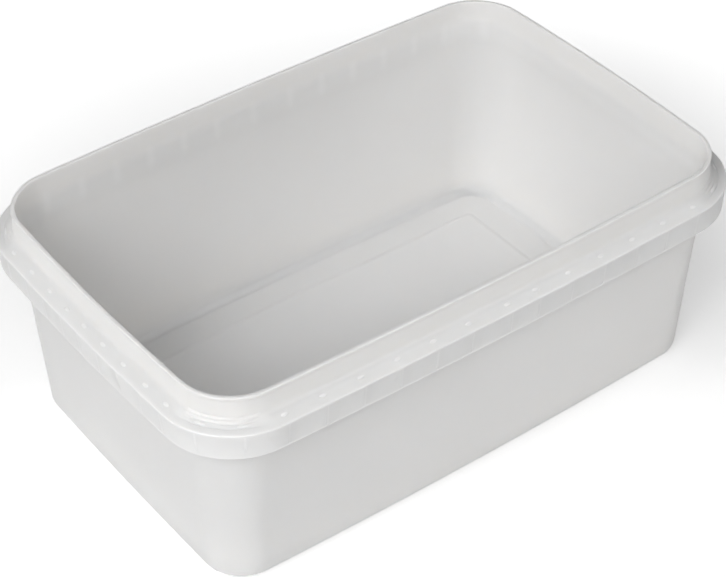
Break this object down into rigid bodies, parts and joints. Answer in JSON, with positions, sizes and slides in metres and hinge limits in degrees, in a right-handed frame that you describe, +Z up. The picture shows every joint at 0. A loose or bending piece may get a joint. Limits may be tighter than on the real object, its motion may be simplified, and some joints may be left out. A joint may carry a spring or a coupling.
{
  "type": "ice cream tub",
  "caption": "Empty rectangular ice cream tub of thin translucent plastic, with drafted walls, an upright lip, a sloping lid ledge, a ribbed skirt and a raised panel in its floor.",
  "frame": {"origin": "middle of the foot, on the surface that the tub stands on", "axes": "+Z up out of the open top, X along the long sides"},
  "size_m": [0.2772, 0.1832, 0.105],
  "materials": {
    "tub": "satin, translucent natural white"
  },
  "bodies": {
    "root": {"tub": "tub"}
  },
  "joints": []
}
